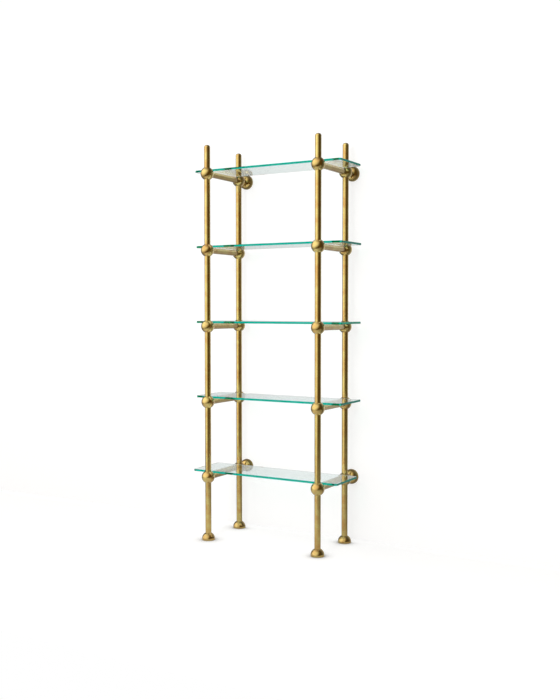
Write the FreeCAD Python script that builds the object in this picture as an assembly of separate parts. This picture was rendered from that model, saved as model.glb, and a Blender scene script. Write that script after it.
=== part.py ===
"""Brass and glass etagere: four tube posts, ball fittings, side rails and loose glass shelves.

Millimetres. +Z is up, +Y points to the wall behind, +X is to the right seen from the front.
The origin is on the floor, midway between the left and right posts, and midway between the
front of the front feet and the wall. Every sub-part is a STEP file of its own in parts/.
"""
import FreeCAD, Part
import math
import os

Vector = FreeCAD.Vector
X = Vector(1, 0, 0)
Y = Vector(0, 1, 0)
Z = Vector(0, 0, 1)

# ---------------------------------------------------------------- driving dimensions
# Frame of posts, rails and balls
post_spacing_x = 613.0      # post axis to post axis, left to right
post_spacing_y = 287.0      # post axis to post axis, front to back
tube_diameter = 30.0        # posts, rails and wall stubs are cut from the same tube
tube_wall = 2.0
ball_diameter = 65.0
level_count = 5
lowest_level = 315.0        # floor to the centre of the lowest balls
level_pitch = 374.0         # ball centre to ball centre
post_rise = 139.0           # top ball centre to the top of the post cap

# Glass shelves
glass_thickness = 10.0
glass_overhang = 97.5       # past the post axis at each end
glass_corner_radius = 12.0
glass_arris = 0.6           # the ground bevel along every edge
glass_side_gap = 2.3        # glass edge to the ball beside it
shelf_rest_x = [-15.0, 4.0, 4.0, 5.0, 0.0]  # how far off centre each loose glass lies, lowest first

# Post caps
cap_crown = 3.0             # radius of the small flat at the very top
cap_spigot_length = 16.0

# Feet
foot_diameter = 66.0        # a half ball, that the post stands in
foot_land = 4.0             # upright edge under the half ball
foot_floor = 6.0            # metal left under the post
pad_diameter = 56.0
pad_thickness = 3.0
pad_proud = 1.0             # how far the pad stands out of its recess

# Wall fixings, behind the lowest and the highest back balls
wall_distance = 80.0        # back post axis to the wall
rosette_diameter = 75.0
rosette_land = 3.0
rosette_crown = 3.0         # radius of the flat that the stub comes through
rosette_rim = 7.2           # brass left round the wall plate
wall_plate_thickness = 5.0
wall_plate_boss = 16.0      # length of the boss that enters the stub
rosette_recess = 11.0       # hollow behind the rosette, room for the plate and its screw heads
wall_screw_hole = 5.5
wall_screw_head = 10.0      # countersink diameter
wall_screw_room = 1.0       # countersink to the stub beside it

# Set screws: headless, with a hexagon socket
screw_diameter = 6.0
socket_across_flats = 3.0
socket_depth = 3.0
rosette_screw_reach = 5.0   # from the stub out to where the rosette's screw enters its dome
rosette_screw_turn = -20.0  # degrees from +X towards the floor, seen from the front
rosette_screw_slope = 45.0  # degrees between the screw and the wall
rosette_screw_inset = 0.8   # outer end below the dome, which is not square to this screw

# Clearances and edge breaks
tube_fit = 0.1              # radial, tube in bore and spigot in tube
screw_fit = 0.05            # radial, set screw in its hole
screw_gap = 0.2             # point of a set screw to the tube that it grips
screw_inset = 0.4           # outer end of a tube screw below the ball's skin
side_screw_inset = 3.0      # outer end of a post screw below the skin of its ball or foot
plate_fit = 0.3             # radial, wall plate in its rosette and pad in its foot
glass_gap = 0.3             # underside of the glass to the top of the rail
bore_chamfer = 0.8

# ---------------------------------------------------------------- derived sizes
tube_radius = tube_diameter / 2
tube_inner_radius = tube_radius - tube_wall
bore_radius = tube_radius + tube_fit
spigot_radius = tube_inner_radius - tube_fit
ball_radius = ball_diameter / 2
screw_hole_radius = screw_diameter / 2
point_radius = screw_hole_radius / 2
point_height = screw_hole_radius - point_radius
foot_radius = foot_diameter / 2
foot_base = pad_proud
rosette_radius = rosette_diameter / 2
wall_plate_radius = rosette_radius - rosette_rim - plate_fit
wall_screw_offset = tube_radius + wall_screw_room + wall_screw_head / 2
cap_height = tube_radius - cap_crown
height = lowest_level + (level_count - 1) * level_pitch + post_rise

middle_y = (foot_radius - wall_distance) / 2   # midway between front and back posts
front_y = middle_y - post_spacing_y / 2
back_y = middle_y + post_spacing_y / 2
wall_y = back_y + wall_distance
side_x = {"left": -post_spacing_x / 2, "right": post_spacing_x / 2}
depth_y = {"front": front_y, "back": back_y}
to_middle_x = {"left": X, "right": -X}
to_middle_y = {"front": Y, "back": -Y}
level_z = [lowest_level + k * level_pitch for k in range(level_count)]
wall_levels = {"bottom": 0, "top": level_count - 1}

# A tube stops against the post that it meets, and its set screw grips it halfway to the ball's skin
tube_end = tube_radius + tube_fit
ball_mouth = math.sqrt(ball_radius ** 2 - tube_radius ** 2)
grip_offset = (tube_end + ball_mouth) / 2
skin_under_grip = math.sqrt(ball_radius ** 2 - grip_offset ** 2)

# The glass lies on the rails, between the front and the back balls
glass_underside = tube_radius + glass_gap
ball_reach = math.sqrt(ball_radius ** 2 - glass_underside ** 2)
glass_length = post_spacing_x + 2 * glass_overhang
glass_depth = post_spacing_y - 2 * (ball_reach + glass_side_gap)


# ---------------------------------------------------------------- small shapes
def rod(radius, length, start, direction):
    """A solid cylinder from start along direction."""
    return Part.makeCylinder(radius, length, start, direction)


def tube(length, start, direction):
    """A length of the tube that posts, rails and stubs are cut from."""
    outside = rod(tube_radius, length, start, direction)
    return outside.cut(rod(tube_inner_radius, length, start, direction))


def mouth_chamfer(radius, mouth, direction):
    """The cone that breaks the edge of a bore; mouth is the centre of its rim, direction points out."""
    rim = radius + bore_chamfer
    start = mouth - direction * bore_chamfer
    cone = Part.makeCone(radius, rim, bore_chamfer, start, direction)
    return cone.fuse(rod(rim, ball_radius, mouth, direction))


def dome(radius, land, crown):
    """A turned dome, flat side down at z = 0: an upright land, a round shoulder and a flat crown."""
    shoulder = radius - crown
    half = shoulder * math.sqrt(0.5)
    rim = Vector(radius, 0, land)
    crown_edge = Vector(crown, 0, land + shoulder)
    arc = Part.Arc(rim, Vector(crown + half, 0, land + half), crown_edge)
    corners = [crown_edge, Vector(0, 0, land + shoulder), Vector(0, 0, 0), Vector(radius, 0, 0), rim]
    edges = [Part.LineSegment(a, b).toShape() for a, b in zip(corners, corners[1:]) if a != b]
    edges.append(arc.toShape())
    return Part.Face(Part.Wire(edges)).revolve(Vector(0, 0, 0), Z, 360)


def facing(shape, place, direction):
    """Move a shape modelled at the origin along +Z to a place, turned to face a direction."""
    moved = shape.copy()
    moved.Placement = FreeCAD.Placement(place, FreeCAD.Rotation(Z, direction))
    return moved


def set_screw(length):
    """A headless screw with its flat point at the origin and its hexagon socket at z = length."""
    body = rod(screw_hole_radius - screw_fit, length, Vector(0, 0, 0), Z)
    point = Part.makeCone(point_radius, screw_hole_radius, point_height)
    body = body.common(point.fuse(rod(screw_hole_radius, length, Z * point_height, Z)))
    corner = socket_across_flats / math.sqrt(3)
    turns = [math.radians(60 * k) for k in range(7)]
    floor = length - socket_depth
    rim = [Vector(corner * math.cos(a), corner * math.sin(a), floor) for a in turns]
    socket = Part.Face(Part.makePolygon(rim)).extrude(Z * (socket_depth + 1))
    return body.cut(socket)


# ---------------------------------------------------------------- where each set screw sits
post_screw_length = ball_radius - tube_radius - screw_gap - side_screw_inset
rail_screw_length = skin_under_grip - tube_radius - screw_gap - screw_inset
foot_screw_height = foot_base + foot_floor + screw_diameter
foot_skin = math.sqrt(foot_radius ** 2 - (foot_screw_height - foot_base - foot_land) ** 2)
foot_screw_length = foot_skin - tube_radius - screw_gap - side_screw_inset


# ---------------------------------------------------------------- sub-parts
def post(x, y):
    """A post: one tube from the floor of its foot to its cap."""
    start = foot_base + foot_floor
    return tube(height - cap_height - start, Vector(x, y, start), Z)


def post_cap(x, y):
    """A turned plug: a dome as wide as the tube, on a spigot inside it."""
    seat = Vector(x, y, height - cap_height)
    head = facing(dome(tube_radius, 0, cap_crown), seat, Z)
    return head.fuse(rod(spigot_radius, cap_spigot_length, seat, -Z)).removeSplitter()


def ball_fitting(x, y, z, inward_x, inward_y, has_wall_bore):
    """A turned ball, bored upright for the post and level for the rail, and for a wall stub if it has one.

    Two set screws hold it: one from the side grips the post, and one from below grips each level tube.
    """
    centre = Vector(x, y, z)
    ball = Part.makeSphere(ball_radius, centre)
    ball = ball.cut(rod(bore_radius, ball_diameter, centre - Z * ball_radius, Z))
    mouth = math.sqrt(ball_radius ** 2 - bore_radius ** 2) - bore_chamfer / 2
    for upright in (Z, -Z):
        ball = ball.cut(mouth_chamfer(bore_radius, centre + upright * mouth, upright))
    level_sides = [inward_y]
    if has_wall_bore:
        level_sides.append(-inward_y)
    for side in level_sides:
        ball = ball.cut(rod(bore_radius, ball_radius, centre, side))
        ball = ball.cut(mouth_chamfer(bore_radius, centre + side * mouth, side))
        ball = ball.cut(rod(screw_hole_radius, ball_radius, centre + side * grip_offset, -Z))
    return ball.cut(rod(screw_hole_radius, ball_radius, centre, inward_x))


def rail(x, z):
    """A side rail between the front and the back ball of one level."""
    length = post_spacing_y - 2 * tube_end
    return tube(length, Vector(x, front_y + tube_end, z), Y)


def glass_shelf(level):
    """A glass pane with rounded corners and a ground bevel along its edges, where it lies at rest."""
    corner = Vector(-glass_length / 2, -glass_depth / 2, 0)
    pane = Part.makeBox(glass_length, glass_depth, glass_thickness, corner)
    upright = [e for e in pane.Edges if abs(e.tangentAt(e.FirstParameter).z) > 0.9]
    pane = pane.makeFillet(glass_corner_radius, upright)
    faces = [f for f in pane.Faces if abs(f.normalAt(0, 0).z) > 0.9]
    pane = pane.makeChamfer(glass_arris, [e for f in faces for e in f.Edges])
    pane.translate(Vector(shelf_rest_x[level], middle_y, level_z[level] + glass_underside))
    return pane


def foot(x, y, inward_x):
    """A domed foot that the post stands in, with a recess for its pad and a set screw from the side."""
    base = Vector(x, y, foot_base)
    solid = facing(dome(foot_radius, foot_land, 0), base, Z)
    solid = solid.cut(rod(bore_radius, foot_diameter, base + Z * foot_floor, Z))
    recess = pad_thickness - pad_proud
    solid = solid.cut(rod(pad_diameter / 2 + plate_fit, recess, base, Z))
    return solid.cut(rod(screw_hole_radius, foot_diameter, Vector(x, y, foot_screw_height), inward_x))


def foot_pad(x, y):
    """The soft disc under a foot, which stands on the floor."""
    return rod(pad_diameter / 2, pad_thickness, Vector(x, y, 0), Z)


def rosette_screw_axis(x, z):
    """Where the rosette's set screw meets the stub, and the direction in which it leaves the dome."""
    turn = math.radians(rosette_screw_turn)
    slope = math.radians(rosette_screw_slope)
    out = Vector(math.cos(turn), 0, math.sin(turn))
    shoulder = rosette_radius - rosette_crown
    skin_radius = tube_radius + rosette_screw_reach
    skin_y = wall_y - rosette_land - math.sqrt(shoulder ** 2 - (skin_radius - rosette_crown) ** 2)
    direction = out * math.cos(slope) - Y * math.sin(slope)
    run = rosette_screw_reach / math.cos(slope)
    skin = Vector(x, skin_y, z) + out * skin_radius
    return skin - direction * run, direction, run


def rosette(x, z):
    """A domed cover on the wall, slid over the stub and the wall plate and held by one set screw."""
    back = Vector(x, wall_y, z)
    solid = facing(dome(rosette_radius, rosette_land, rosette_crown), back, -Y)
    solid = solid.cut(rod(bore_radius, rosette_diameter, back, -Y))
    solid = solid.cut(rod(wall_plate_radius + plate_fit, rosette_recess, back, -Y))
    grip, direction, run = rosette_screw_axis(x, z)
    return solid.cut(rod(screw_hole_radius, run + tube_radius, grip, direction))


def wall_stub(x, z):
    """A short tube from the back ball to the wall plate."""
    start = back_y + tube_end
    return tube(wall_y - wall_plate_thickness - start, Vector(x, start, z), Y)


def wall_plate(x, z):
    """A disc screwed to the wall, with a boss that carries the stub and two countersunk holes."""
    back = Vector(x, wall_y, z)
    plate = rod(wall_plate_radius, wall_plate_thickness, back, -Y)
    plate = plate.fuse(rod(spigot_radius, wall_plate_thickness + wall_plate_boss, back, -Y))
    front = back - Y * wall_plate_thickness
    hole_radius = wall_screw_hole / 2
    head_radius = wall_screw_head / 2
    for side in (X, -X):
        offset = side * wall_screw_offset
        plate = plate.cut(rod(hole_radius, wall_plate_thickness, front + offset, Y))
        sink = Part.makeCone(head_radius, hole_radius, head_radius - hole_radius, front + offset, Y)
        plate = plate.cut(sink)
    return plate.removeSplitter()


# ---------------------------------------------------------------- assembly
nodes = {}
post_screws = []
tube_screws = []
rosette_screws = []
wall_plates = []
foot_pads = []


def add_tube_screw(x, y, z):
    """A set screw from below, gripping the level tube that passes over (x, y)."""
    place = Vector(x, y, z - tube_radius - screw_gap)
    tube_screws.append(facing(set_screw(rail_screw_length), place, -Z))


def add_post_screw(x, y, z, length, inward_x):
    """A set screw from the side, gripping the post."""
    place = Vector(x, y, z) + inward_x * (tube_radius + screw_gap)
    post_screws.append(facing(set_screw(length), place, inward_x))


for side, x in side_x.items():
    inward_x = to_middle_x[side]
    for end, y in depth_y.items():
        place = end + "_" + side
        inward_y = to_middle_y[end]
        nodes["post_" + place] = post(x, y)
        nodes["post_cap_" + place] = post_cap(x, y)
        nodes["foot_" + place] = foot(x, y, inward_x)
        foot_pads.append(foot_pad(x, y))
        add_post_screw(x, y, foot_screw_height, foot_screw_length, inward_x)
        for level, z in enumerate(level_z):
            at_wall = end == "back" and level in wall_levels.values()
            name = "ball_%d_%s" % (level + 1, place)
            nodes[name] = ball_fitting(x, y, z, inward_x, inward_y, at_wall)
            add_post_screw(x, y, z, post_screw_length, inward_x)
            add_tube_screw(x, y + inward_y.y * grip_offset, z)
            if at_wall:
                add_tube_screw(x, y - inward_y.y * grip_offset, z)
    for level, z in enumerate(level_z):
        nodes["rail_%d_%s" % (level + 1, side)] = rail(x, z)
    for name, level in wall_levels.items():
        z = level_z[level]
        nodes["wall_stub_%s_%s" % (name, side)] = wall_stub(x, z)
        nodes["rosette_%s_%s" % (name, side)] = rosette(x, z)
        wall_plates.append(wall_plate(x, z))
        grip, direction, run = rosette_screw_axis(x, z)
        start = screw_gap + point_radius * math.tan(math.radians(rosette_screw_slope))
        screw = set_screw(run - start - rosette_screw_inset)
        rosette_screws.append(facing(screw, grip + direction * start, direction))

for level in range(level_count):
    nodes["shelf_%d" % (level + 1)] = glass_shelf(level)

nodes["post_set_screws"] = Part.makeCompound(post_screws)
nodes["tube_set_screws"] = Part.makeCompound(tube_screws)
nodes["rosette_set_screws"] = Part.makeCompound(rosette_screws)
nodes["wall_plates"] = Part.makeCompound(wall_plates)
nodes["foot_pads"] = Part.makeCompound(foot_pads)

os.makedirs("parts", exist_ok=True)
for name, shape in nodes.items():
    shape.exportStep("parts/" + name + ".step")
print(len(nodes), "nodes,", sum(len(shape.Solids) for shape in nodes.values()), "solids")
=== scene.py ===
"""Finishes, set screws and studio for a brass and glass etagere.

Lengths are in metres. +Z is up, +Y points to the wall behind, +X is to the right seen from the front.
"""

import math

import bmesh
import bpy
import numpy as np
from bpy.props import FloatProperty, FloatVectorProperty, IntProperty, PointerProperty
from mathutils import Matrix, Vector


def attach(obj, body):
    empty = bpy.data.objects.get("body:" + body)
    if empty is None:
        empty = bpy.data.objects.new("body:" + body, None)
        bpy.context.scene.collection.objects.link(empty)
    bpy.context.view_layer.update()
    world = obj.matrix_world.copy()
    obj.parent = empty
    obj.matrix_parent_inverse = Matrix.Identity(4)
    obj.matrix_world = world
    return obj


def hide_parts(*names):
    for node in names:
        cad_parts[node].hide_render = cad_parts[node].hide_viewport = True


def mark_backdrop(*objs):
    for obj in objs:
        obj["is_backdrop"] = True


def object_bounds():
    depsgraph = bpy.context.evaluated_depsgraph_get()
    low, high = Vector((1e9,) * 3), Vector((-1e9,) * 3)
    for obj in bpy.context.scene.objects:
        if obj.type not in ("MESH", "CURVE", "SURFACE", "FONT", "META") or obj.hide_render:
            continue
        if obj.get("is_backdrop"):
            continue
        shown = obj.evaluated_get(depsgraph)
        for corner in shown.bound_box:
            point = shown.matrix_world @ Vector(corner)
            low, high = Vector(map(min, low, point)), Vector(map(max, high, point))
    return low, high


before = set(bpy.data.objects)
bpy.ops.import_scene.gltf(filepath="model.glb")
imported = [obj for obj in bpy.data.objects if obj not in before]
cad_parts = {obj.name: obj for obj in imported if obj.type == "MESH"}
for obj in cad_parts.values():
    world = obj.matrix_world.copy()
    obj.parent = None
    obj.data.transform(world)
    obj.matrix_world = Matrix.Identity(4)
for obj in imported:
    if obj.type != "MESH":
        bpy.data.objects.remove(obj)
CAD_LOW, CAD_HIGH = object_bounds()

bl_info = {
    "name": "Brass and glass etagere",
    "version": (1, 0, 0),
    "blender": (4, 5, 0),
    "location": "View3D > Sidebar > Etagere",
    "description": "Finishes, set screws and studio for a brass and glass etagere",
    "category": "Object",
}

MM = 0.001
WHITE = (1.0, 1.0, 1.0, 1.0)


# ---------------------------------------------------------------- small helpers
def linear(hex_colour):
    """An sRGB hex colour as linear RGBA."""
    channels = [int(hex_colour[i:i + 2], 16) / 255 for i in (0, 2, 4)]
    return [c / 12.92 if c <= 0.04045 else ((c + 0.055) / 1.055) ** 2.4 for c in channels] + [1.0]


def add(tree, kind, inputs=None, stops=(), **settings):
    """Add a node with its settings; an input is linked if it is a socket, and set if it is a value.

    stops are the two ends of a colour ramp, each a position and a linear colour.
    """
    node = tree.nodes.new(kind)
    for name, value in settings.items():
        setattr(node, name, value)
    for key, value in (inputs or {}).items():
        if isinstance(value, bpy.types.NodeSocket):
            tree.links.new(value, node.inputs[key])
        else:
            node.inputs[key].default_value = value
    for end, (position, colour) in enumerate(stops):
        node.color_ramp.elements[end].position = position
        node.color_ramp.elements[end].color = colour
    return node


def new_material(name):
    """A material that holds only an output node, with its tree and that node."""
    material = bpy.data.materials.new(name)
    material.use_nodes = True
    material.node_tree.nodes.clear()
    return material, material.node_tree, add(material.node_tree, "ShaderNodeOutputMaterial")


def scaled(colour, factor):
    """A linear colour made brighter or darker, at most white."""
    return [min(1.0, c * factor) for c in colour[:3]] + [1.0]


def nodes_named(*starts):
    """The CAD nodes whose names begin with one of these words."""
    return [node for name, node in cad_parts.items() if name.startswith(starts)]


def give(objects, material):
    """Put a material in every slot of some objects."""
    for item in objects:
        for slot in item.material_slots:
            slot.material = material


# ---------------------------------------------------------------- materials
TONED_TO, BRIGHT_FROM = 0.34, 0.6           # values of the patches' noise at which their colour is full
DULL_TO, GLOSSY_FROM = 0.35, 0.65           # and at which their gloss is
DULL, GLOSSY = 1.1, 0.95                    # the patches' roughness, as shares of the brass's


def aged_brass(name, brass, along, rubbed=1.0):
    """Yellow brass, drawn or turned, brushed round, waxed and left to tone.

    The brushing runs round axis number along. It gives a satin gloss that is broad along that axis and
    tight across it, and the wax a tighter one on top. Handling and air leave browner patches a few
    centimetres long, which shine a little less. The factor rubbed, below one, darkens the copy as painted
    shade.
    """
    material, tree, output = new_material(name)
    place = add(tree, "ShaderNodeTexCoord").outputs["Object"]
    patches = add(tree, "ShaderNodeTexNoise",
                  {"Vector": place, "Scale": 1 / brass.patch, "Detail": 5.0, "Roughness": 0.6})
    # both colours are scaled by rubbed: below one this is painted shade, not wear
    colour = add(tree, "ShaderNodeValToRGB", {"Fac": patches.outputs["Fac"]},
                 stops=[(TONED_TO, scaled(brass.toned, rubbed)),
                        (BRIGHT_FROM, scaled(brass.bright, rubbed))])
    sheen = add(tree, "ShaderNodeMapRange",
                {"Value": patches.outputs["Fac"], "From Min": DULL_TO, "From Max": GLOSSY_FROM,
                 "To Min": brass.roughness * DULL, "To Max": brass.roughness * GLOSSY})
    squash = Vector((1, 1, 1)) / brass.brush_length
    squash[along] = 1 / brass.brush_width
    lines_place = add(tree, "ShaderNodeMapping", {"Vector": place, "Scale": squash})
    lines = add(tree, "ShaderNodeTexNoise",
                {"Vector": lines_place.outputs["Vector"], "Scale": 1.0, "Detail": 3.0})
    relief = add(tree, "ShaderNodeBump",
                 {"Height": lines.outputs["Fac"], "Strength": brass.brush_depth, "Distance": 0.1 * MM})
    shader = add(tree, "ShaderNodeBsdfPrincipled",
                 {"Base Color": colour.outputs["Color"], "Metallic": 1.0,
                  "Roughness": sheen.outputs["Result"], "Coat Weight": 1.0, "Coat Roughness": 0.15,
                  "Coat IOR": 1.5, "Normal": relief.outputs["Normal"]})
    tree.links.new(shader.outputs["BSDF"], output.inputs["Surface"])
    return material


FACE_FROM, EDGE_TO = 0.95, 0.75     # how upright the normal of a pane's face is, and of its edge
GRIND_MARK = 4 * MM                 # length of what grinding leaves on an edge
LAST_BOUNCE = 3.5                   # at a Glossy Depth of 4 the renderer follows a ray no further
GLOW_COLOUR = (0.0001, 0.0001, 0.0001, 1.0)


def float_glass(glass):
    """Clear float glass with ground and polished edges.

    Iron in it takes red first, so the faces look nearly clear, and an edge, seen through the depth of the
    pane, looks sea green. Lamps pass through it, as light does through a real pane.

    Light that zigzags inside a pane takes more bounces than the renderer follows, so the inner side of the
    glass glows for light that has come so far. The glow's colour is near black and its nodes raise the
    strength, so that a copy of the material that loses those nodes doesn't glow all over.
    """
    material, tree, output = new_material("clear float glass, polished edges")
    place = add(tree, "ShaderNodeTexCoord").outputs["Object"]
    surface = add(tree, "ShaderNodeNewGeometry").outputs
    facing = add(tree, "ShaderNodeSeparateXYZ", {"Vector": surface["Normal"]})
    upright = add(tree, "ShaderNodeMath", {0: facing.outputs["Z"]}, operation="ABSOLUTE")
    edge = add(tree, "ShaderNodeMapRange",
               {"Value": upright.outputs[0], "From Min": FACE_FROM, "From Max": EDGE_TO})
    grind = add(tree, "ShaderNodeTexNoise", {"Vector": place, "Scale": 1 / GRIND_MARK, "Detail": 2.0})
    marks = add(tree, "ShaderNodeMath",
                {0: edge.outputs["Result"], 1: grind.outputs["Fac"]}, operation="MULTIPLY")
    relief = add(tree, "ShaderNodeBump",
                 {"Height": marks.outputs[0], "Strength": 0.15, "Distance": 0.05 * MM})
    outside = add(tree, "ShaderNodeMath", {0: edge.outputs["Result"], 1: surface["Backfacing"]},
                  operation="SUBTRACT", use_clamp=True)
    skin = add(tree, "ShaderNodeValToRGB", {"Fac": outside.outputs[0]},
               stops=[(0.0, WHITE), (1.0, glass.edge)]).outputs["Color"]
    rays = add(tree, "ShaderNodeLightPath").outputs
    far = add(tree, "ShaderNodeMath", {0: rays["Glossy Depth"], 1: LAST_BOUNCE}, operation="GREATER_THAN")
    inner = add(tree, "ShaderNodeMath", {0: far.outputs[0], 1: surface["Backfacing"]}, operation="MULTIPLY")
    glow = add(tree, "ShaderNodeMapRange",
               {"Value": inner.outputs[0], "To Max": glass.deep / GLOW_COLOUR[0]})
    shader = add(tree, "ShaderNodeBsdfPrincipled",
                 {"Base Color": skin, "Specular Tint": skin, "Transmission Weight": 1.0, "IOR": glass.ior,
                  "Roughness": 0.0, "Emission Color": GLOW_COLOUR,
                  "Emission Strength": glow.outputs["Result"], "Normal": relief.outputs["Normal"]})
    for_lamps = add(tree, "ShaderNodeBsdfTransparent", {"Color": glass.shade})
    pane = add(tree, "ShaderNodeMixShader",
               {"Fac": rays["Is Shadow Ray"], 1: shader.outputs["BSDF"], 2: for_lamps.outputs["BSDF"]})
    tint = add(tree, "ShaderNodeVolumeAbsorption", {"Color": glass.tint, "Density": glass.density})
    tree.links.new(pane.outputs["Shader"], output.inputs["Surface"])
    tree.links.new(tint.outputs["Volume"], output.inputs["Volume"])
    return material


PIT = 1.5 * MM              # grain of the plating
WORN = 1.5                  # how much brighter it is where it is worn


def plated_steel(name, colour, roughness):
    """Machined steel with a thin plating: fine pits break its gloss, and it is paler where it is worn."""
    material, tree, output = new_material(name)
    place = add(tree, "ShaderNodeTexCoord").outputs["Object"]
    grain = add(tree, "ShaderNodeTexNoise", {"Vector": place, "Scale": 1 / PIT, "Detail": 3.0})
    tone = add(tree, "ShaderNodeValToRGB", {"Fac": grain.outputs["Fac"]},
               stops=[(0.35, linear(colour)), (0.75, scaled(linear(colour), WORN))])
    sheen = add(tree, "ShaderNodeMapRange",
                {"Value": grain.outputs["Fac"], "To Min": roughness * 0.8, "To Max": roughness * 1.2})
    shader = add(tree, "ShaderNodeBsdfPrincipled",
                 {"Base Color": tone.outputs["Color"], "Metallic": 1.0,
                  "Roughness": sheen.outputs["Result"]})
    tree.links.new(shader.outputs["BSDF"], output.inputs["Surface"])
    return material


PEBBLE = 0.8 * MM           # grain of moulded rubber
DUST_PATCH = 12 * MM        # size of a patch of dust on it
DUSTY = 2.0                 # how much brighter the dust is


def moulded_rubber(colour):
    """Moulded rubber: matt, with a faint pebble and a bloom of dust."""
    material, tree, output = new_material("moulded rubber")
    place = add(tree, "ShaderNodeTexCoord").outputs["Object"]
    pebble = add(tree, "ShaderNodeTexNoise", {"Vector": place, "Scale": 1 / PEBBLE, "Detail": 2.0})
    bloom = add(tree, "ShaderNodeTexNoise", {"Vector": place, "Scale": 1 / DUST_PATCH, "Detail": 3.0})
    tone = add(tree, "ShaderNodeValToRGB", {"Fac": bloom.outputs["Fac"]},
               stops=[(0.4, linear(colour)), (0.8, scaled(linear(colour), DUSTY))])
    relief = add(tree, "ShaderNodeBump",
                 {"Height": pebble.outputs["Fac"], "Strength": 0.3, "Distance": 0.1 * MM})
    shader = add(tree, "ShaderNodeBsdfPrincipled",
                 {"Base Color": tone.outputs["Color"], "Roughness": 0.85,
                  "Normal": relief.outputs["Normal"]})
    tree.links.new(shader.outputs["BSDF"], output.inputs["Surface"])
    return material


# ---------------------------------------------------------------- settings
class EtagereBrass(bpy.types.PropertyGroup):
    """The brass of tubes, balls, feet and rosettes."""
    bright: FloatVectorProperty(name="Bright", description="Brass where it is rubbed", size=4,
                                subtype="COLOR", min=0, max=1, default=linear("D2BD6E"))
    toned: FloatVectorProperty(name="Toned", description="Brass where it has browned", size=4,
                               subtype="COLOR", min=0, max=1, default=linear("C79C50"))
    # share of the brass colours kept on the rails: a darker copy, painted shade
    rails: FloatProperty(name="Rails", description="How much of those colours the rails keep, for the painted "
                         "shade under the glass", default=0.75, min=0, max=1, subtype="FACTOR")
    # share of the brass colours kept on the feet: a darker copy, painted shade
    feet: FloatProperty(name="Feet", description="How much of those colours the feet keep, for the painted "
                        "shade down there", default=0.86, min=0, max=1, subtype="FACTOR")
    roughness: FloatProperty(name="Roughness", description="Satin of the brushing", default=0.2,
                             min=0, max=1, subtype="FACTOR")
    patch: FloatProperty(name="Patch", description="Length of a toned patch", default=0.042, unit="LENGTH")
    brush_length: FloatProperty(name="Brush mark length", description="Length of one brush mark",
                                default=0.03, unit="LENGTH")
    brush_width: FloatProperty(name="Brush mark width", description="Width of one brush mark. Real ones "
                               "are near 0.1 mm, and these are coarser so that they show",
                               default=0.0015, unit="LENGTH")
    brush_depth: FloatProperty(name="Brush mark strength", description="How deep the marks look",
                               default=0.04, min=0, max=1, subtype="FACTOR")


class EtagereGlass(bpy.types.PropertyGroup):
    """The glass of the shelves."""
    ior: FloatProperty(name="IOR", description="How much the glass bends light", default=1.52, min=1, max=2)
    tint: FloatVectorProperty(name="Tint", description="Colour that the glass lets through", size=4,
                              subtype="COLOR", min=0, max=1, default=linear("00ECE2"))
    density: FloatProperty(name="Density", description="How fast the tint deepens, per metre",
                           default=5.0, min=0)
    edge: FloatVectorProperty(name="Edge", description="Colour that ground edges gather", size=4,
                              subtype="COLOR", min=0, max=1, default=linear("009581"))
    shade: FloatVectorProperty(name="Shade", description="Colour of a lamp's light behind a pane", size=4,
                               subtype="COLOR", min=0, max=1, default=linear("EFF7F4"))
    deep: FloatProperty(name="Deep light", description="Glow for light that has run past the last bounce "
                        "inside a pane", default=0.18, min=0, max=1, subtype="FACTOR")


class EtagereScrews(bpy.types.PropertyGroup):
    """The headless set screws in balls, feet and rosettes."""
    pitch: FloatProperty(name="Pitch", description="Thread pitch", default=0.001, min=0.0002, unit="LENGTH")
    depth: FloatProperty(name="Thread depth", description="Crest to root", default=0.0005, min=0,
                         unit="LENGTH")
    socket: FloatProperty(name="Socket", description="Hexagon across its flats", default=0.003,
                          min=0.001, unit="LENGTH")
    socket_depth: FloatProperty(name="Socket depth", description="How deep the hexagon goes", default=0.003,
                                min=0, unit="LENGTH")
    seed: IntProperty(name="Seed", description="Chooses how far each screw is turned", default=4, min=0)


class EtagereStage(bpy.types.PropertyGroup):
    """Floor, wall, lamp and camera."""
    side_reach: FloatProperty(name="Side reach", description="How far floor and wall run past the etagere",
                              default=3.0, unit="LENGTH")
    front_reach: FloatProperty(name="Front reach", description="How far the floor runs out in front",
                               default=1.4, unit="LENGTH")
    wall_height: FloatProperty(name="Wall height", description="Height of the wall behind",
                               default=3.2, unit="LENGTH")
    floor_glow: FloatProperty(name="Floor glow", description="Light of its own that makes the floor white",
                              default=0.755, min=0)
    wall_glow: FloatProperty(name="Wall glow", description="Light of its own that makes the wall white",
                             default=0.725, min=0)
    lamp_size: FloatProperty(name="Lamp size", description="Side of the front lamp", default=0.5,
                             unit="LENGTH")
    lamp_power: FloatProperty(name="Lamp power", description="Power of the front lamp", default=35.0,
                              unit="POWER")
    lamp_place: FloatVectorProperty(name="Lamp", description="Where the front lamp hangs", size=3,
                                    subtype="TRANSLATION", default=(0.35, -3.2, 2.0))
    camera_place: FloatVectorProperty(name="Camera", description="Where the camera stands", size=3,
                                      subtype="TRANSLATION", default=(2.25009, -3.89421, 1.15245))
    camera_turn: FloatProperty(name="Camera turn", description="To the left of straight ahead",
                               default=math.radians(29.92), unit="ROTATION")
    camera_tilt: FloatProperty(name="Camera tilt", description="Below the horizon",
                               default=math.radians(2.622), unit="ROTATION")
    lens: FloatProperty(name="Lens", description="Focal length on a 36 mm frame, in millimetres",
                        default=46.93)


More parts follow.
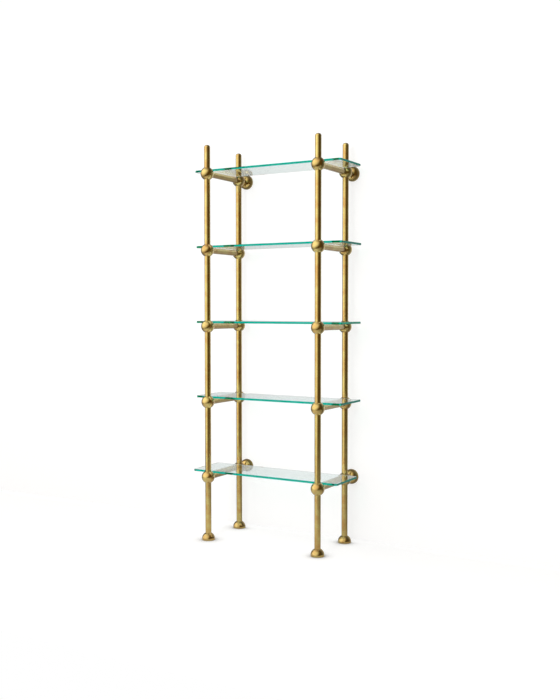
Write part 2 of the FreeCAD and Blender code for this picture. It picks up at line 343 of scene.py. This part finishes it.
# ---------------------------------------------------------------- operators
class ETAGERE_OT_brass(bpy.types.Operator):
    """Give posts, caps, balls, feet, rails, stubs and rosettes their aged brass"""
    bl_idname = "etagere.brass"
    bl_label = "Brass parts"

    def execute(self, context):
        brass = context.scene.etagere_brass
        upright = aged_brass("aged brass, brushed round an upright axis", brass, along=2)
        level = aged_brass("aged brass, brushed round a level axis", brass, along=1)
        # darker copies for the rails and feet: painted shade
        rails = aged_brass("aged brass, brushed round a level axis, seldom rubbed", brass, 1, brass.rails)
        feet = aged_brass("aged brass, brushed round an upright axis, seldom rubbed", brass, 2, brass.feet)
        give(nodes_named("post_front", "post_back", "post_cap", "ball"), upright)
        give(nodes_named("foot_front", "foot_back"), feet)
        give(nodes_named("wall_stub", "rosette_top", "rosette_bottom"), level)
        give(nodes_named("rail"), rails)
        return {"FINISHED"}


class ETAGERE_OT_glass(bpy.types.Operator):
    """Give the five shelves their clear glass"""
    bl_idname = "etagere.glass"
    bl_label = "Glass shelves"

    def execute(self, context):
        give(nodes_named("shelf"), float_glass(context.scene.etagere_glass))
        return {"FINISHED"}


SAME_PLACE = 0.001 * MM     # corners this close are one
AT_END = 0.01 * MM          # corners this close to a screw's end lie on it
THREAD_SIDES = 24           # corners round a thread
THREAD_ROWS = 4             # rows of corners to a turn
# A screw's end to its socket's middle, as a share of the socket's depth. Under a half, it opens the end.
SOCKET_SUNK = 0.48


def solids_of(node):
    """The separate solids of a CAD node, each as an array of its corners, in the same order every time."""
    work = bmesh.new()
    work.from_mesh(node.data)
    bmesh.ops.remove_doubles(work, verts=work.verts, dist=SAME_PLACE)
    left = dict.fromkeys(work.verts)
    found = []
    while left:
        reached = [left.popitem()[0]]
        for vertex in reached:
            for edge in vertex.link_edges:
                other = edge.other_vert(vertex)
                if other in left:
                    del left[other]
                    reached.append(other)
        found.append(np.array([vertex.co for vertex in reached]))
    work.free()
    return found


def screw_place(corners):
    """The middle of a screw's point, its direction from there to the socket, its length and its radius."""
    middle = (corners.min(axis=0) + corners.max(axis=0)) / 2
    spread, directions = np.linalg.eigh(np.cov((corners - middle).T))
    axis = directions[:, 2] if spread[2] - spread[1] > spread[1] - spread[0] else directions[:, 0]
    along = (corners - middle) @ axis
    out = np.linalg.norm(corners - middle - np.outer(along, axis), axis=1)
    low, high = along.min(), along.max()
    if out[along < low + AT_END].max() > out[along > high - AT_END].max():
        axis, low, high = -axis, -high, -low
    return middle + axis * low, axis, high - low, out.max()


def screw_tree():
    """Threaded set screws on points that carry an axis and a length."""
    tree = bpy.data.node_groups.new("set screws", "GeometryNodeTree")
    inputs = {"Points": "Geometry", "Radius": "Float", "Length": "Float", "Pitch": "Float",
              "Thread depth": "Float", "Point radius": "Float", "Socket radius": "Float",
              "Socket depth": "Float", "Seed": "Int", "Material": "Material"}
    for name, kind in inputs.items():
        tree.interface.new_socket(name, in_out="INPUT", socket_type="NodeSocket" + kind)
    tree.interface.new_socket("Screws", in_out="OUTPUT", socket_type="NodeSocketGeometry")
    given = add(tree, "NodeGroupInput").outputs

    turns = add(tree, "ShaderNodeMath", {0: given["Length"], 1: given["Pitch"]}, operation="DIVIDE")
    rows = add(tree, "ShaderNodeMath", {0: turns.outputs[0], 1: THREAD_ROWS}, operation="MULTIPLY")
    blank = add(tree, "GeometryNodeMeshCylinder",
                {"Vertices": THREAD_SIDES, "Side Segments": rows.outputs[0], "Radius": given["Radius"],
                 "Depth": given["Length"]}, fill_type="NGON")
    half = add(tree, "ShaderNodeMath", {0: given["Length"], 1: 0.5}, operation="MULTIPLY")
    place = add(tree, "GeometryNodeInputPosition").outputs[0]
    axes = add(tree, "ShaderNodeSeparateXYZ", {"Vector": place}).outputs
    along = add(tree, "ShaderNodeMath", {0: axes["Z"], 1: half.outputs[0]}, operation="ADD")
    angle = add(tree, "ShaderNodeMath", {0: axes["Y"], 1: axes["X"]}, operation="ARCTAN2")
    climbed = add(tree, "ShaderNodeMath", {0: along.outputs[0], 1: given["Pitch"]}, operation="DIVIDE")
    turned = add(tree, "ShaderNodeMath", {0: angle.outputs[0], 1: -1 / math.tau, 2: climbed.outputs[0]},
                 operation="MULTIPLY_ADD")
    groove = add(tree, "ShaderNodeMath", {0: turned.outputs[0], 1: 0.5}, operation="PINGPONG")
    cut = add(tree, "ShaderNodeMath", {0: groove.outputs[0], 1: 2.0}, operation="MULTIPLY")
    depth = add(tree, "ShaderNodeMath", {0: cut.outputs[0], 1: given["Thread depth"]}, operation="MULTIPLY")
    threaded = add(tree, "ShaderNodeMath", {0: given["Radius"], 1: depth.outputs[0]}, operation="SUBTRACT")
    nose = add(tree, "ShaderNodeMath", {0: along.outputs[0], 1: given["Point radius"]}, operation="ADD")
    from_end = add(tree, "ShaderNodeMath", {0: given["Length"], 1: along.outputs[0]}, operation="SUBTRACT")
    root = add(tree, "ShaderNodeMath", {0: given["Radius"], 1: given["Thread depth"]}, operation="SUBTRACT")
    tail = add(tree, "ShaderNodeMath", {0: from_end.outputs[0], 1: root.outputs[0]}, operation="ADD")
    slim = add(tree, "ShaderNodeMath", {0: nose.outputs[0], 1: tail.outputs[0]}, operation="MINIMUM")
    skin = add(tree, "ShaderNodeMath", {0: threaded.outputs[0], 1: slim.outputs[0]}, operation="MINIMUM")
    squeeze = add(tree, "ShaderNodeMath", {0: skin.outputs[0], 1: given["Radius"]}, operation="DIVIDE")
    factors = add(tree, "ShaderNodeCombineXYZ",
                  {"X": squeeze.outputs[0], "Y": squeeze.outputs[0], "Z": 1.0})
    shaped = add(tree, "ShaderNodeVectorMath", {0: place, 1: factors.outputs[0]}, operation="MULTIPLY")
    body = add(tree, "GeometryNodeSetPosition",
               {"Geometry": blank.outputs["Mesh"], "Position": shaped.outputs[0]})

    hexagon = add(tree, "GeometryNodeMeshCylinder",
                  {"Vertices": 6, "Radius": given["Socket radius"], "Depth": given["Socket depth"]},
                  fill_type="NGON")
    sink = add(tree, "ShaderNodeMath", {0: given["Socket depth"], 1: -SOCKET_SUNK, 2: half.outputs[0]},
               operation="MULTIPLY_ADD")
    sunk = add(tree, "ShaderNodeCombineXYZ", {"Z": sink.outputs[0]})
    tool = add(tree, "GeometryNodeTransform",
               {"Geometry": hexagon.outputs["Mesh"], "Translation": sunk.outputs[0]})
    bored = add(tree, "GeometryNodeMeshBoolean",
                {"Mesh 1": body.outputs["Geometry"], "Mesh 2": tool.outputs["Geometry"]},
                operation="DIFFERENCE", solver="EXACT")
    up = add(tree, "ShaderNodeCombineXYZ", {"Z": half.outputs[0]})
    screw = add(tree, "GeometryNodeTransform",
                {"Geometry": bored.outputs["Mesh"], "Translation": up.outputs[0]})

    axis = add(tree, "GeometryNodeInputNamedAttribute", {"Name": "axis"}, data_type="FLOAT_VECTOR")
    length = add(tree, "GeometryNodeInputNamedAttribute", {"Name": "length"}, data_type="FLOAT")
    stretch = add(tree, "ShaderNodeMath", {0: length.outputs[0], 1: given["Length"]}, operation="DIVIDE")
    scale = add(tree, "ShaderNodeCombineXYZ", {"X": 1.0, "Y": 1.0, "Z": stretch.outputs[0]})
    aimed = add(tree, "FunctionNodeAlignRotationToVector", {"Vector": axis.outputs[0]}, axis="Z")
    spin = add(tree, "FunctionNodeRandomValue", {"Max": math.tau, "Seed": given["Seed"]}, data_type="FLOAT")
    driven = add(tree, "FunctionNodeAxisAngleToRotation",
                 {"Axis": (0, 0, 1), "Angle": spin.outputs["Value"]})
    rotation = add(tree, "FunctionNodeRotateRotation",
                   {"Rotation": aimed.outputs[0], "Rotate By": driven.outputs[0]}, rotation_space="LOCAL")
    placed = add(tree, "GeometryNodeInstanceOnPoints",
                 {"Points": given["Points"], "Instance": screw.outputs["Geometry"],
                  "Rotation": rotation.outputs[0], "Scale": scale.outputs[0]})
    real = add(tree, "GeometryNodeRealizeInstances", {"Geometry": placed.outputs["Instances"]})
    painted = add(tree, "GeometryNodeSetMaterial",
                  {"Geometry": real.outputs["Geometry"], "Material": given["Material"]})
    add(tree, "NodeGroupOutput", {"Screws": painted.outputs["Geometry"]})
    return tree


def set_screws(node_name, tree, settings, material):
    """A piece of threaded screws in the places of a CAD node's plain ones."""
    places = [screw_place(corners) for corners in solids_of(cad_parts[node_name])]
    points, axes, lengths, radii = (np.array(column) for column in zip(*places))
    seats = bpy.data.meshes.new(node_name + " seats")
    seats.from_pydata(points, [], [])
    seats.attributes.new("axis", "FLOAT_VECTOR", "POINT").data.foreach_set("vector", axes.ravel())
    seats.attributes.new("length", "FLOAT", "POINT").data.foreach_set("value", lengths)
    carrier = bpy.data.objects.new(node_name + " carrier", seats)
    bpy.context.scene.collection.objects.link(carrier)
    values = {"Radius": radii.max(), "Length": lengths.max(), "Pitch": settings.pitch,
              "Thread depth": settings.depth, "Point radius": radii.max() / 2,
              "Socket radius": settings.socket / math.sqrt(3), "Socket depth": settings.socket_depth,
              "Seed": settings.seed, "Material": material}
    maker = carrier.modifiers.new("set screws", "NODES")
    maker.node_group = tree
    for item in tree.interface.items_tree:
        if item.name in values:
            maker[item.identifier] = values[item.name]
    evaluated = carrier.evaluated_get(bpy.context.evaluated_depsgraph_get())
    made = bpy.data.meshes.new_from_object(evaluated)
    made.materials.pop(index=0)     # the empty slot of the tree's cylinders
    piece = bpy.data.objects.new("threaded_" + node_name, made)
    bpy.data.objects.remove(carrier)
    bpy.context.scene.collection.objects.link(piece)
    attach(piece, "frame")
    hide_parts(node_name)


class ETAGERE_OT_screws(bpy.types.Operator):
    """Thread the set screws of balls, feet and rosettes"""
    bl_idname = "etagere.screws"
    bl_label = "Set screws"

    def execute(self, context):
        steel = plated_steel("black oxide steel, machined", "2B2A2A", 0.4)
        tree = screw_tree()
        for node_name in ("post_set_screws", "tube_set_screws", "rosette_set_screws"):
            set_screws(node_name, tree, context.scene.etagere_screws, steel)
        return {"FINISHED"}


class ETAGERE_OT_fixings(bpy.types.Operator):
    """Give wall plates and foot pads their steel and rubber"""
    bl_idname = "etagere.fixings"
    bl_label = "Plates and pads"

    def execute(self, context):
        give(nodes_named("wall_plates"), plated_steel("zinc plated steel, pressed", "B9BCC0", 0.35))
        give(nodes_named("foot_pads"), moulded_rubber("26251F"))
        return {"FINISHED"}


def stage_plane(name, corners, material):
    """A flat piece of the stage through four corners, whose normal follows the right-hand rule."""
    mesh = bpy.data.meshes.new(name)
    mesh.from_pydata(corners, [], [(0, 1, 2, 3)])
    plane = bpy.data.objects.new(name, mesh)
    plane.data.materials.append(material)
    bpy.context.scene.collection.objects.link(plane)
    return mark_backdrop(plane)


PAPER = linear("9E9E9E"), linear("A2A2A2")      # its darker and its paler fibres
FIBRE = 3 * MM
CONTACT_REACH = 60 * MM     # how close the etagere blocks the floor's glow
CONTACT_DEPTH = 2.5         # power that deepens this shade
WALL_FREE = 75 * MM, 58 * MM        # distances to the wall at which this shade starts to fade, and is gone
WALL_LIFT = 1.03            # what the glow is multiplied by there
ASLANT = 0.875, 0.2         # blend of the view aslant on the wall, and what its gloss keeps there

# Pools of light that gloss shows: centre, reach, and brightness at the centre and at the rim
FLOOR_POOL = (-0.4, -0.95, 0.0), 2.1, 0.9, 0.35
WALL_POOL = (-0.1, CAD_HIGH.y, 1.0), 2.2, 1.0, 0.4

# Soft lights of the room: direction, cosines to it where the light is full and gone, and strength
ROOM_LIGHTS = (((-0.434, -0.695, 0.574), 0.96, 0.20, 1.3),      # a softbox high at the front left
               ((-0.966, 0.0, 0.259), 0.9, 0.0, 0.3))           # a pale wall at the left
ROOM = linear("5F4E26")
CEILING_FROM, CEILING = 0.75, 0.5       # height above which those lights fade, and what is left at the top
LAMP_AIM = Vector((0, 0, 1))            # about the middle of the etagere


def pale_paper(name, glow, pool, is_wall):
    """Pale paper that keeps a shadow.

    A glow lifts it to white for the eye and through glass. In gloss it is a pool of light. The floor's
    glow is blocked close to what stands on it. The wall looks dimmer in gloss where it is met aslant, and
    is clear from behind.
    """
    material, tree, output = new_material(name)
    place = add(tree, "ShaderNodeTexCoord").outputs["Object"]
    fibre = add(tree, "ShaderNodeTexNoise", {"Vector": place, "Scale": 1 / FIBRE, "Detail": 3.0})
    tone = add(tree, "ShaderNodeValToRGB", {"Fac": fibre.outputs["Fac"]}, stops=zip((0.3, 0.7), PAPER))
    paper = add(tree, "ShaderNodeBsdfDiffuse", {"Color": tone.outputs["Color"]})
    rays = add(tree, "ShaderNodeLightPath").outputs
    seen = add(tree, "ShaderNodeMath", {0: rays["Is Camera Ray"], 1: rays["Is Transmission Ray"]},
               operation="MAXIMUM")
    lift = add(tree, "ShaderNodeMath", {0: seen.outputs[0], 1: glow}, operation="MULTIPLY")
    centre, reach, bright, rim = pool
    away = add(tree, "ShaderNodeVectorMath", {0: place, 1: centre}, operation="DISTANCE")
    light = add(tree, "ShaderNodeMapRange",
                {"Value": away.outputs["Value"], "From Max": reach, "To Min": bright, "To Max": rim},
                interpolation_type="SMOOTHSTEP")
    if is_wall:
        blend, least = ASLANT
        aslant = add(tree, "ShaderNodeLayerWeight", {"Blend": blend})
        kept = add(tree, "ShaderNodeMapRange",
                   {"Value": aslant.outputs["Facing"], "To Min": 1.0, "To Max": least})
        light = add(tree, "ShaderNodeMath", {0: light.outputs[0], 1: kept.outputs[0]}, operation="MULTIPLY")
    else:
        open_sky = add(tree, "ShaderNodeAmbientOcclusion", {"Distance": CONTACT_REACH}, samples=8)
        contact = add(tree, "ShaderNodeMath", {0: open_sky.outputs["AO"], 1: CONTACT_DEPTH},
                      operation="POWER")
        across = add(tree, "ShaderNodeSeparateXYZ", {"Vector": place})
        fades, gone = (CAD_HIGH.y - distance for distance in WALL_FREE)
        by_wall = add(tree, "ShaderNodeMapRange",
                      {"Value": across.outputs["Y"], "From Min": fades, "From Max": gone,
                       "To Max": WALL_LIFT})
        free = add(tree, "ShaderNodeMath", {0: contact.outputs[0], 1: by_wall.outputs["Result"]},
                   operation="MAXIMUM")
        lift = add(tree, "ShaderNodeMath", {0: lift.outputs[0], 1: free.outputs[0]}, operation="MULTIPLY")
    direct = add(tree, "ShaderNodeEmission", {"Color": WHITE, "Strength": lift.outputs[0]})
    surface = add(tree, "ShaderNodeAddShader", {0: paper.outputs[0], 1: direct.outputs[0]})
    gloss = add(tree, "ShaderNodeEmission", {"Color": WHITE, "Strength": light.outputs[0]})
    mirrored = add(tree, "ShaderNodeMath", {0: rays["Is Glossy Ray"], 1: rays["Is Transmission Ray"]},
                   operation="SUBTRACT", use_clamp=True)
    surface = add(tree, "ShaderNodeMixShader",
                  {"Fac": mirrored.outputs[0], 1: surface.outputs[0], 2: gloss.outputs[0]})
    if is_wall:
        behind = add(tree, "ShaderNodeNewGeometry").outputs["Backfacing"]
        clear = add(tree, "ShaderNodeBsdfTransparent")
        surface = add(tree, "ShaderNodeMixShader",
                      {"Fac": behind, 1: surface.outputs[0], 2: clear.outputs[0]})
    tree.links.new(surface.outputs[0], output.inputs["Surface"])
    return material


def studio_world():
    """White for the eye and for glass.

    For light and gloss it is a dim room with two soft lights, which fade towards the ceiling.
    """
    world = bpy.data.worlds.new("studio")
    world.use_nodes = True
    tree = world.node_tree
    tree.nodes.clear()
    way = add(tree, "ShaderNodeTexCoord").outputs["Generated"]
    total = 0.0
    for direction, full, gone, strength in ROOM_LIGHTS:
        toward = add(tree, "ShaderNodeVectorMath", {0: way, 1: Vector(direction).normalized()},
                     operation="DOT_PRODUCT")
        light = add(tree, "ShaderNodeMapRange",
                    {"Value": toward.outputs["Value"], "From Min": gone, "From Max": full,
                     "To Max": strength}, interpolation_type="SMOOTHSTEP")
        total = add(tree, "ShaderNodeMath", {0: total, 1: light.outputs["Result"]},
                    operation="ADD").outputs[0]
    height = add(tree, "ShaderNodeSeparateXYZ", {"Vector": way})
    ceiling = add(tree, "ShaderNodeMapRange",
                  {"Value": height.outputs["Z"], "From Min": CEILING_FROM,
                   "To Min": 1.0, "To Max": CEILING})
    lights = add(tree, "ShaderNodeMath", {0: total, 1: ceiling.outputs["Result"]}, operation="MULTIPLY")
    room = add(tree, "ShaderNodeMix", {"Factor": 1.0, 6: ROOM, 7: lights.outputs[0]},
               data_type="RGBA", blend_type="ADD")
    rays = add(tree, "ShaderNodeLightPath").outputs
    seen = add(tree, "ShaderNodeMath", {0: rays["Is Camera Ray"], 1: rays["Is Transmission Ray"]},
               operation="MAXIMUM")
    colour = add(tree, "ShaderNodeMix", {"Factor": seen.outputs[0], 6: room.outputs[2], 7: WHITE},
                 data_type="RGBA")
    glow = add(tree, "ShaderNodeBackground", {"Color": colour.outputs[2]})
    add(tree, "ShaderNodeOutputWorld", {"Surface": glow.outputs[0]})
    return world


class ETAGERE_OT_stage(bpy.types.Operator):
    """Lay the floor, stand the wall, and set up camera and light"""
    bl_idname = "etagere.stage"
    bl_label = "Stage"

    def execute(self, context):
        stage = context.scene.etagere_stage
        left, right = CAD_LOW.x - stage.side_reach, CAD_HIGH.x + stage.side_reach
        front, wall = CAD_LOW.y - stage.front_reach, CAD_HIGH.y
        top = stage.wall_height
        stage_plane("floor", [(left, front, 0), (right, front, 0), (right, wall, 0), (left, wall, 0)],
                    pale_paper("pale paper floor", stage.floor_glow, FLOOR_POOL, is_wall=False))
        stage_plane("wall", [(left, wall, 0), (right, wall, 0), (right, wall, top), (left, wall, top)],
                    pale_paper("pale paper wall", stage.wall_glow, WALL_POOL, is_wall=True))
        context.scene.world = studio_world()
        lamp = bpy.data.objects.new("front lamp", bpy.data.lights.new("front lamp", "AREA"))
        lamp.data.size = stage.lamp_size
        lamp.data.energy = stage.lamp_power
        lamp.location = stage.lamp_place
        lamp.rotation_euler = (LAMP_AIM - lamp.location).to_track_quat("-Z", "Y").to_euler()
        lamp.visible_glossy = False
        context.scene.collection.objects.link(lamp)
        context.scene.view_settings.view_transform = "Standard"
        camera = bpy.data.objects.new("camera", bpy.data.cameras.new("camera"))
        camera.data.lens = stage.lens
        camera.location = stage.camera_place
        camera.rotation_euler = (math.pi / 2 - stage.camera_tilt, 0, stage.camera_turn)
        context.scene.collection.objects.link(camera)
        context.scene.camera = camera
        return {"FINISHED"}


class ETAGERE_PT_panel(bpy.types.Panel):
    """The etagere's pieces and their settings"""
    bl_idname = "ETAGERE_PT_panel"
    bl_label = "Etagere"
    bl_space_type = "VIEW_3D"
    bl_region_type = "UI"
    bl_category = "Etagere"

    def draw(self, context):
        scene = context.scene
        for title, operator, settings in STEPS:
            box = self.layout.box()
            box.operator(operator, text=title)
            if settings:
                group = getattr(scene, settings)
                for name in group.__annotations__:
                    box.prop(group, name)


STEPS = (
    ("Brass parts", "etagere.brass", "etagere_brass"),
    ("Glass shelves", "etagere.glass", "etagere_glass"),
    ("Set screws", "etagere.screws", "etagere_screws"),
    ("Plates and pads", "etagere.fixings", None),
    ("Stage", "etagere.stage", "etagere_stage"),
)
GROUPS = {"etagere_brass": EtagereBrass, "etagere_glass": EtagereGlass, "etagere_screws": EtagereScrews,
          "etagere_stage": EtagereStage}
CLASSES = (*GROUPS.values(), ETAGERE_OT_brass, ETAGERE_OT_glass, ETAGERE_OT_screws, ETAGERE_OT_fixings,
           ETAGERE_OT_stage, ETAGERE_PT_panel)


def register():
    for cls in CLASSES:
        bpy.utils.register_class(cls)
    for name, group in GROUPS.items():
        setattr(bpy.types.Scene, name, PointerProperty(type=group))


def unregister():
    for name in GROUPS:
        delattr(bpy.types.Scene, name)
    for cls in reversed(CLASSES):
        bpy.utils.unregister_class(cls)


def main():
    register()
    bpy.ops.etagere.brass()
    bpy.ops.etagere.glass()
    bpy.ops.etagere.screws()
    bpy.ops.etagere.fixings()
    bpy.ops.etagere.stage()


if __name__ == "__main__":
    main()
